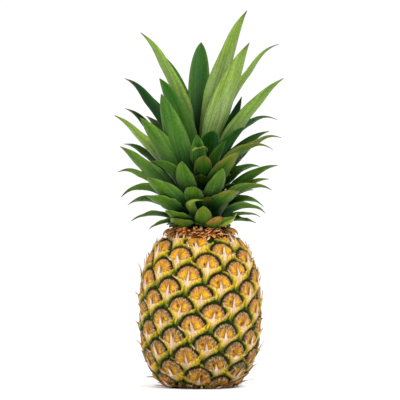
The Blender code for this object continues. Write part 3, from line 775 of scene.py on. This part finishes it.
def flake(piece, points, sides, normals, halves, thicks, colours, seed, area):
    """A thin closed flake along a line of points, with its half width and its thickness at each."""
    across = np.linspace(-1, 1, FLAKE_ACROSS)
    bow = 0.35 * (1 - across**2)
    rings, places = [], []
    length = np.concatenate([[0], np.cumsum(np.linalg.norm(np.diff(points, axis=0), axis=1))])
    for point, side, normal, half, thick, far in zip(points, sides, normals, halves, thicks, length):
        over = point + np.outer(across * half, side) + np.outer(bow * half + thick / 2, normal)
        under = over - np.outer(np.full(FLAKE_ACROSS, thick), normal)
        rings.append(np.concatenate([over, under[::-1]]))
        rings[-1][:, 2] = np.maximum(rings[-1][:, 2], FLOOR_GAP)
        places.append(streak_places(across * half * 1.6, far * 0.15, seed, 7))
    shades = np.repeat(np.asarray(colours)[:, None, :], 2 * FLAKE_ACROSS, axis=1)
    piece.add_tube(rings, shades, places, area)


def skin_flake(piece, skin, middle, line, rise, halves, thicks, colours):
    """A flake along a line on the skin, given as lengths across and up from a place and its angle."""
    s, angle = middle
    across, up = line
    angles = angle + across / skin.at(s)[0]
    points = skin.point(s + up, angles, rise)
    outward = skin.point(s + up, angles, rise + 1) - points
    along = np.gradient(points, axis=0)
    sides = np.cross(along, outward)
    sides /= np.linalg.norm(sides, axis=1)[:, None]
    normals = np.cross(sides, along)
    normals /= np.linalg.norm(normals, axis=1)[:, None]
    points[:, 1] = np.maximum(points[:, 1], FRONT_LIMIT_Y)
    number = len(piece.points)
    area = map_cell(number, *FLAKE_CELLS)
    flake(piece, points, sides, normals, halves, thicks, colours, 3.7 * number, area)


def add_spine(piece, skin, eye, draw):
    """The spine that stands up from an eye's bract, or what is left of a broken one."""
    broken = draw.random() < 0.25
    length = draw.uniform(4, 6.5) if broken else draw.uniform(8, 14)
    lift = draw.uniform(3.5, 8.5) if draw.random() < 0.35 else draw.uniform(0.5, 2.5)
    share = np.linspace(0, 1, SPINE_ROWS)
    x = length * (draw.uniform(-0.16, 0.16) * share + draw.uniform(-0.1, 0.1) * share**2)
    rise = 3.9 + lift * share**2 - 0.5 * wave(0, 0.3, share) + 0.3 * share
    rise[0] = 2.2
    blunt = 0.35 if broken else 0.1
    halves = draw.uniform(1.5, 2.5) * ((1 - share**0.8) * (1 - blunt) + blunt)
    brown = wave(0.6, 1, share) * draw.uniform(0.3, 0.9)
    colours = tint(SPINE_CREAM, (SPINE_TIP, brown), (EYE_AMBER, draw.uniform(-0.3, 0.3)))
    line = eye.turned(x, -4.6 + length * share)
    skin_flake(piece, skin, (eye.s, eye.angle), line, rise, halves, 1.6 - 1.25 * share, colours)


def add_hair(piece, skin, eye, draw):
    """A fine hair at the upper edge of an eye's bract."""
    share = np.linspace(0, 1, HAIR_ROWS)
    foot_x = draw.uniform(-11, 11)
    length = draw.uniform(3, 7.5)
    aim = radians(draw.uniform(-35, 35)) + 0.06 * foot_x
    x = foot_x + length * sin(aim) * share
    y = eye.lip(foot_x) - 1.6 + length * cos(aim) * share
    rise = 2.9 + draw.uniform(0.3, 3.2) * share
    halves = draw.uniform(0.35, 0.75) * (1 - share**1.5) + 0.12
    yellow, brown = draw.uniform(0, 0.6), draw.uniform(0.1, 0.9) * share
    colours = tint(SPINE_CREAM, (BRACT_YELLOW, yellow), (SPINE_TIP, brown))
    skin_flake(piece, skin, (eye.s, eye.angle), eye.turned(x, y), rise, halves, 0.7 - 0.4 * share, colours)


def add_foot_scale(piece, skin, angle, draw):
    """A dry scale on the skin near the foot."""
    share = np.linspace(0, 1, FOOT_SCALE_ROWS)
    s = skin.foot_s + draw.uniform(3, 22)
    line = (draw.uniform(-8, 8) * share, draw.uniform(4, 10) * share * draw.choice((-0.6, 0.9)))
    rise = min(s - skin.foot_s, 12) / 5 + draw.uniform(0.4, 3) * share
    halves = draw.uniform(0.8, 2.2) * (1 - share**1.5) + 0.2
    colours = tint(draw.choice(FOOT_SHADES), (SPINE_TIP, 0.5 * share))
    skin_flake(piece, skin, (s, angle), line, rise, halves, 0.9 - 0.55 * share, colours)


def build_spines(skin, eyes, material):
    draw = random.Random(EYE_SEED + 1)
    piece = Piece()
    for eye in eyes:
        if skin.foot_s + 9 < eye.s < skin.top_s - 1:
            add_spine(piece, skin, eye, draw)
            for _ in range(HAIRS_AN_EYE):
                add_hair(piece, skin, eye, draw)
    for k in range(FOOT_SCALES):
        add_foot_scale(piece, skin, 2 * pi * (k * GOLDEN_SHARE % 1), draw)
    piece.build("eye_spines", material, "fruit")


# Collar


def build_collar(material):
    draw = random.Random(COLLAR_SEED)
    pick = draw.uniform
    piece = Piece()
    angles = turn_angles(CORE_COLUMNS)
    rings = []
    for radius, height in COLLAR_CORE:
        ribs = 0.6 * np.sin(angles * 17 + height) * (radius > 1)
        rings.append(points_round(angles, radius + ribs, COLLAR_BASE_Z + height))
    piece.add_tube(rings, DRY_CORE, np.array(rings) * (0.5, 0.5, 0.2), (0, 0, 1, 0.12))
    for count, radius, height, length, slope in COLLAR_RINGS:
        for k in range(count):
            azimuth = 2 * pi * (k + pick(-0.4, 0.4)) / count
            lift = radians(slope + pick(-28, 28))
            skew = radians(pick(-75, 75))
            reach = length * pick(0.7, 1.2)
            width = pick(1.1, 2.5)
            curl = radians(pick(-30, 80))
            shades = (DRY_SHADES[draw.choice(COLLAR_MIX)], DRY_SHADES[3])
            dry_scale(piece, (azimuth, radius, height), skew, lift, curl, reach, width, shades)
    for degrees in HOOK_ANGLES:
        place = (radians(degrees), HOOK_RADIUS, pick(3.5, 5.5))
        lift, curl = radians(pick(40, 52)), radians(pick(125, 145))
        shades = (tint(HOOK_OLIVE, (LEAF_MID, pick(0, 0.5))), DRY_SHADES[1])
        reach, width = pick(15, 18), pick(5.5, 7.5)
        dry_scale(piece, place, 0, lift, curl, reach, width, shades)
    piece.build("neck_scales", material, "neck_bracts")


def dry_scale(piece, place, skew, lift, curl, reach, width, shades):
    """A papery pointed bract that leaves the collar at an angle and curls down along its length.

    place is the azimuth, radius and height of its root, and shades are the blade's and the tip's.
    """
    azimuth, radius, height = place
    out, level = direction(azimuth), direction(azimuth + pi / 2)
    heading = out * cos(skew) + level * sin(skew)
    side = level * cos(skew) - out * sin(skew)
    up = np.array([0, 0, 1])
    root = out * radius + (0, 0, COLLAR_BASE_Z + height)
    share = np.linspace(0, 1, DRY_ROWS)
    points, normals = [root], []
    for step in share:
        angle = lift - curl * step
        along = heading * cos(angle) + up * sin(angle)
        normals.append(up * cos(angle) - heading * sin(angle))
        points.append(points[-1] + along * reach / (DRY_ROWS - 1))
    sides = np.tile(side, (DRY_ROWS, 1))
    halves = width * np.sin(pi * (0.22 + 0.78 * share)) ** 0.8 * (1 - 0.35 * share) + 0.15
    tip, foot = 0.6 * wave(0.35, 1, share), 0.6 * wave(0.3, 0, share)
    colours = tint(shades[0], (shades[1], tip), (DRY_CORE, foot))
    seed = float(np.sum(root)) % 50
    area = map_cell(CORE_CELLS + len(piece.points) - 1, *COLLAR_CELLS)
    flake(piece, np.array(points[:-1]), sides, normals, halves, 0.8 - 0.45 * share, colours, seed, area)


# Crown


# A leaf's curve in three points, its width and roll, and its look from 0 to 1
Leaf = namedtuple("Leaf", "root middle tip width roll tone bloom dry orange blunt")


def stem_radius(height):
    radii, heights = zip(*STEM)
    return float(np.interp(height, heights, radii))


class LeafCurve:
    """A leaf's middle line: a curve from its root through its middle to its tip."""

    def __init__(self, root, middle, tip):
        pass_at = (middle - root).length / ((middle - root).length + (tip - middle).length)
        ends = root * (1 - pass_at) ** 2 + tip * pass_at**2
        self.root, self.tip = root, tip
        self.bend = (middle - ends) / (2 * pass_at * (1 - pass_at))
        self.fine = np.linspace(0, 1, CURVE_POINTS)
        points = [self.point(t) for t in self.fine]
        steps = [(there - here).length for here, there in zip(points, points[1:])]
        self.length = sum(steps)
        self.share = np.concatenate([[0], np.cumsum(steps)]) / self.length

    def point(self, t):
        return self.root * (1 - t) ** 2 + self.bend * (2 * t * (1 - t)) + self.tip * t**2

    def at(self, share):
        """Point and direction at a share of the leaf's length."""
        t = float(np.interp(share, self.share, self.fine))
        along = (self.bend - self.root) * (1 - t) + (self.tip - self.bend) * t
        return self.point(t), along.normalized()


def add_leaf(piece, leaf, number, area):
    """A blade like a trough along its curve, with a wavy edge, its colours and its streaks."""
    draw = random.Random(CROWN_SEED * 100 + number)
    curve = LeafCurve(leaf.root, leaf.middle, leaf.tip)
    out = Vector((leaf.tip.x, leaf.tip.y, 0)).normalized()
    level = Vector((0, 0, 1)).cross(out)
    turn = radians(-leaf.roll) * out.x
    across = np.linspace(-1, 1, LEAF_ACROSS)
    waves, phase, swing = draw.uniform(2, 3.6), draw.uniform(0, 6), draw.uniform(0.3, 0.9)
    rings, places = [], []
    shares = np.linspace(0, 1, LEAF_ROWS) ** 0.92
    for u in shares:
        point, along = curve.at(u)
        hook = sin(pi * max(u - HOOK_START, 0) / (1 - HOOK_START))
        point.z += LEAF_HOOK * leaf.dry * curve.length * hook
        flat = (level - along * level.dot(along)).normalized()
        face = along.cross(flat)
        opened = min(u / LEAF_OPEN, 1)
        angle = turn * opened
        side = np.array(flat * cos(angle) + face * sin(angle))
        over = np.array(face * cos(angle) - flat * sin(angle))
        taper = (1 - u ** (LEAF_TAPER + 5 * leaf.blunt)) ** (1 - 0.5 * leaf.blunt)
        half = max(leaf.width / 2 * (0.55 + 0.45 * opened) * taper, LEAF_TIP_HALF)
        wrap = radians(30 + 32 * (1 - u) ** 2)
        bow = across * wrap
        lift = half / wrap * (1 - np.cos(bow))
        ripple = swing * np.sin(waves * 2 * pi * u + phase + (across > 0) * 1.9) * across**2
        ripple = ripple * half / (leaf.width / 2)
        upper = np.array(point) + np.outer(half / wrap * np.sin(bow), side) + np.outer(lift + ripple, over)
        normal = np.outer(np.cos(bow), over) - np.outer(np.sin(bow), side)
        thick = LEAF_EDGE + (LEAF_THICK - LEAF_EDGE) * (1 - u) * (1 - across**2)
        lower = upper - normal * thick[:, None]
        rings.append(np.concatenate([upper, lower[::-1]]))
        places.append(streak_places(across * half * 0.85, u * curve.length * 0.018, 7.3 * number, 3.1))
    colours = leaf_colours(leaf, shares, across, phase, drying=draw.uniform(0, 0.04))
    piece.add_tube(rings, colours, places, area)


def leaf_colours(leaf, shares, across, phase, drying):
    """The colours along a blade and across its upper and under side, with painted shade towards its root."""
    tone, bloom, dry = leaf.tone, leaf.bloom, leaf.dry
    u, a = np.meshgrid(shares, np.concatenate([across, across[::-1]]), indexing="ij")
    edge = np.abs(a)
    under = (np.arange(2 * LEAF_ACROSS) >= LEAF_ACROSS) * 1
    patch = 0.5 + 0.5 * np.sin(8 * u + 2.5 * a + phase) * np.cos(4 * a - 5 * u + 2 * phase)
    powder = bloom * (0.3 + 0.7 * tone) * (0.1 + 0.8 * patch) * (0.4 + 0.6 * under) * (1 - 0.55 * edge**3)
    low = wave(208, 172, leaf.root.z)
    lighter = leaf_green(min(tone + 0.25, 1))
    withered = min(0.2 + 4 * dry, 0.9)
    return tint(
        leaf_green(tone * 0.85),
        (leaf_green(tone), under),
        (LEAF_YELLOW, 0.5 * tone**2 * (1 - patch) * wave(0.15, 0.5, u)),
        (LEAF_BLOOM, powder * wave(1, 0.45, u)),
        (LEAF_DARK, 0.35 * spot(a / 0.18) * (1 - under) * wave(0.9, 0.4, u)),
        # Painted shade deep in the crown: the blade darkens towards its root, less where it has bloom
        (LEAF_DARK, 0.85 * (1 - 0.8 * bloom) * wave(0.74, 0.16, u + 0.06 * patch)),
        (LEAF_PAINTED_SHADE, 0.92 * (1 - bloom) * wave(0.5, 0.14, u)),
        (LEAF_YELLOW, 0.2 * low * wave(0.35, 0.95, u + 0.15 * patch)),
        (lighter, 0.5 * wave(0.7, 0.88, edge) * wave(0.2, 0.5, u)),
        (LEAF_RIM, 0.45 * wave(0.88, 0.98, edge) * wave(0.1, 0.4, u)),
        (LEAF_ORANGE, leaf.orange * wave(0.6, 1.1, u + 0.35 * edge)),
        (LEAF_TIP, withered * wave(0.985 - 0.11 * dry - drying, 0.995, u + 0.02 * edge)),
    )


def stem_point(azimuth, height):
    """Where a leaf's root lies, a little inside the stem."""
    return Vector(direction(azimuth)) * max(stem_radius(height) - LEAF_ROOT, 0.5) + Vector((0, 0, height))


def front_leaves():
    """The leaves of the table. How far a leaf's middle leans out follows from its x."""
    for x, y, z, middle_x, middle_z, root_z, width, roll, *look in FRONT_LEAVES:
        tip = Vector((x, y, z))
        root = stem_point(atan2(x, -y), root_z)
        share = (middle_x - root.x) / (x - root.x) if abs(x) > 25 else 0.55
        middle = Vector((middle_x, root.y + (y - root.y) * min(max(share, 0.4), 0.8), middle_z))
        yield Leaf(root, middle, tip, width, roll, *(value / 10 for value in look))


def short_leaf(root, tip, arch, widths, looks, draw):
    """A leaf without roll, whose middle stands above the line from its root to its tip."""
    middle = (root + tip) / 2 + Vector((0, 0, arch))
    look = [draw.uniform(low, high) for low, high in looks]
    return Leaf(root, middle, tip, draw.uniform(*widths), 0, *look)


def foot_leaves():
    """The short leaves that close the neck above the collar."""
    draw = random.Random(CROWN_SEED + 2)
    for k in range(FOOT_LEAVES):
        azimuth = 2 * pi * (k + draw.uniform(-0.3, 0.3)) / FOOT_LEAVES
        root = stem_point(azimuth, FOOT_ROOT_Z)
        tip = Vector(direction(azimuth + draw.uniform(-0.2, 0.2))) * draw.uniform(*FOOT_REACH)
        tip.z = FOOT_ROOT_Z + draw.uniform(*FOOT_RISE)
        yield short_leaf(root, tip, FOOT_ARCH, FOOT_WIDTH, FOOT_LOOKS, draw)


def inner_leaves():
    """The short leaves that hide the stem, in a spiral from the lowest to the highest."""
    draw = random.Random(CROWN_SEED + 3)
    for k in range(INNER_LEAVES):
        azimuth = pi / 4 + k * GOLDEN_ANGLE
        height = INNER_ROOTS[0] + (INNER_ROOTS[1] - INNER_ROOTS[0]) * k / (INNER_LEAVES - 1)
        root = stem_point(azimuth, height)
        tip = Vector(direction(azimuth)) * (stem_radius(height) + draw.uniform(*INNER_REACH))
        tip.z = height + draw.uniform(*INNER_RISE)
        yield short_leaf(root, tip, INNER_ARCH, INNER_WIDTH, INNER_LOOKS, draw)


def back_leaves():
    """The leaves that the front view hides, lowest first."""
    draw = random.Random(CROWN_SEED)
    looks = random.Random(CROWN_SEED + 1)
    for k in range(BACK_LEAVES):
        share = k / (BACK_LEAVES - 1)
        spread, reach, root_z, rise, width = (
            low + (high - low) * share
            for low, high in (BACK_HALF_SPREAD, BACK_REACH, BACK_ROOTS, BACK_RISE, BACK_WIDTH)
        )
        azimuth = pi + spread * (2 * ((k * GOLDEN_SHARE) % 1) - 1)
        root = stem_point(azimuth, root_z)
        tip = Vector(direction(azimuth)) * reach * draw.uniform(0.88, 1.1)
        tip.z = root_z + rise * draw.uniform(0.85, 1.15)
        middle = (root + tip) / 2
        middle.z += (tip - root).length * BACK_ARCH * draw.uniform(0.7, 1.3)
        size = width * draw.uniform(0.9, 1.1)
        roll = draw.uniform(-15, 15)
        look = [looks.uniform(low, high) for low, high in BACK_LOOKS]
        yield Leaf(root, middle, tip, size, roll, *look)


def build_crown(material):
    leaves = [*front_leaves(), *foot_leaves(), *inner_leaves(), *back_leaves()]
    leaves.sort(key=lambda leaf: leaf.root.z)
    for start in range(0, len(leaves), LEAVES_IN_PIECE):
        piece = Piece()
        for k, leaf in enumerate(leaves[start : start + LEAVES_IN_PIECE]):
            add_leaf(piece, leaf, start + k, map_cell(k, LEAVES_IN_PIECE, 1))
        piece.build(f"crown_leaves_{start // LEAVES_IN_PIECE + 1}", material, "crown")


def build_stem(material):
    piece = Piece()
    angles = turn_angles(STEM_COLUMNS)
    rings = []
    for height in np.linspace(STEM[0][1], STEM[-1][1], STEM_ROWS):
        ribs = 0.5 * np.sin(5 * angles + height * 0.4)
        rings.append(points_round(angles, stem_radius(height) - 1 + ribs, height))
    piece.add_tube(rings, LEAF_DARK, np.array(rings) * (0.4, 0.4, 0.05), (0, 0, 1, 1))
    piece.build("crown_stem", material, "crown")


# Stage


def build_floor():
    mesh = bpy.data.meshes.new("floor")
    corners = ((-1, -1), (1, -1), (1, 1), (-1, 1))
    mesh.from_pydata([(x * FLOOR_HALF, y * FLOOR_HALF, 0) for x, y in corners], [], [(0, 1, 2, 3)])
    white = Nodes("floor_white")
    white.shader.inputs["Base Color"].default_value = (0.98, 0.98, 0.98, 1)
    white.shader.inputs["Roughness"].default_value = 0.9
    mesh.materials.append(white.material)
    new_object("floor", mesh)


def build_lights():
    world = bpy.data.worlds.new("studio")
    world.use_nodes = True
    background = world.node_tree.nodes["Background"]
    background.inputs["Color"].default_value = (1, 1, 1, 1)
    background.inputs["Strength"].default_value = WORLD_LIGHT
    bpy.context.scene.world = world
    for name, (place, aim, size, power) in LIGHTS.items():
        lamp = bpy.data.lights.new(name, "AREA")
        lamp.size = size
        lamp.energy = power
        obj = new_object(name, lamp)
        obj.location = place
        obj.rotation_euler = (Vector(aim) - Vector(place)).to_track_quat("-Z", "Y").to_euler()


def build_camera():
    camera = bpy.data.cameras.new("camera")
    camera.lens = CAMERA_LENS
    view = new_object("camera", camera)
    view.location = CAMERA_PLACE
    view.rotation_euler = (pi / 2, 0, 0)
    bpy.context.scene.camera = view
    bpy.context.scene.view_settings.view_transform = "Standard"


def dress_stalk(stalk):
    stalk.data.materials.clear()
    stalk.data.materials.append(stalk_finish())


def main():
    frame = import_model()
    skin_look = plant_finish(
        "fruit_skin", streaks=(0.55, 1.3), grains=(0.6, 1.3), grain_size=0.0011, relief=0.0008,
        pale=(HAIR_PALE, 0.75), dark=(HAIR_DARK, 0.85), roughness=(0.45, 0.8), gloss=0.08,
    )
    dry_look = plant_finish(
        "dry_bract", streaks=(0.75, 1.35), grains=(0.8, 1.2), grain_size=0.0014, relief=0.0005,
        pale=(HAIR_PALE, 0.4), dark=(DRY_CORE, 0.4), roughness=(0.6, 0.9), gloss=0.1,
    )
    leaf_look = plant_finish(
        "leaf_green", streaks=(0.62, 1.32), grains=(0.78, 1.18), grain_size=0.0024, relief=0.0003,
        pale=(LEAF_BLOOM, 0.22), dark=(LEAF_DARK, 0.45), roughness=(0.36, 0.55), gloss=0.08,
    )
    skin = Skin()
    eyes = skin_eyes(skin)
    build_fruit(skin, eyes, skin_look)
    build_spines(skin, eyes, skin_look)
    build_collar(dry_look)
    build_crown(leaf_look)
    build_stem(leaf_look)
    dress_stalk(frame["nodes"]["cut_stalk"])
    build_floor()
    build_lights()
    build_camera()


main()
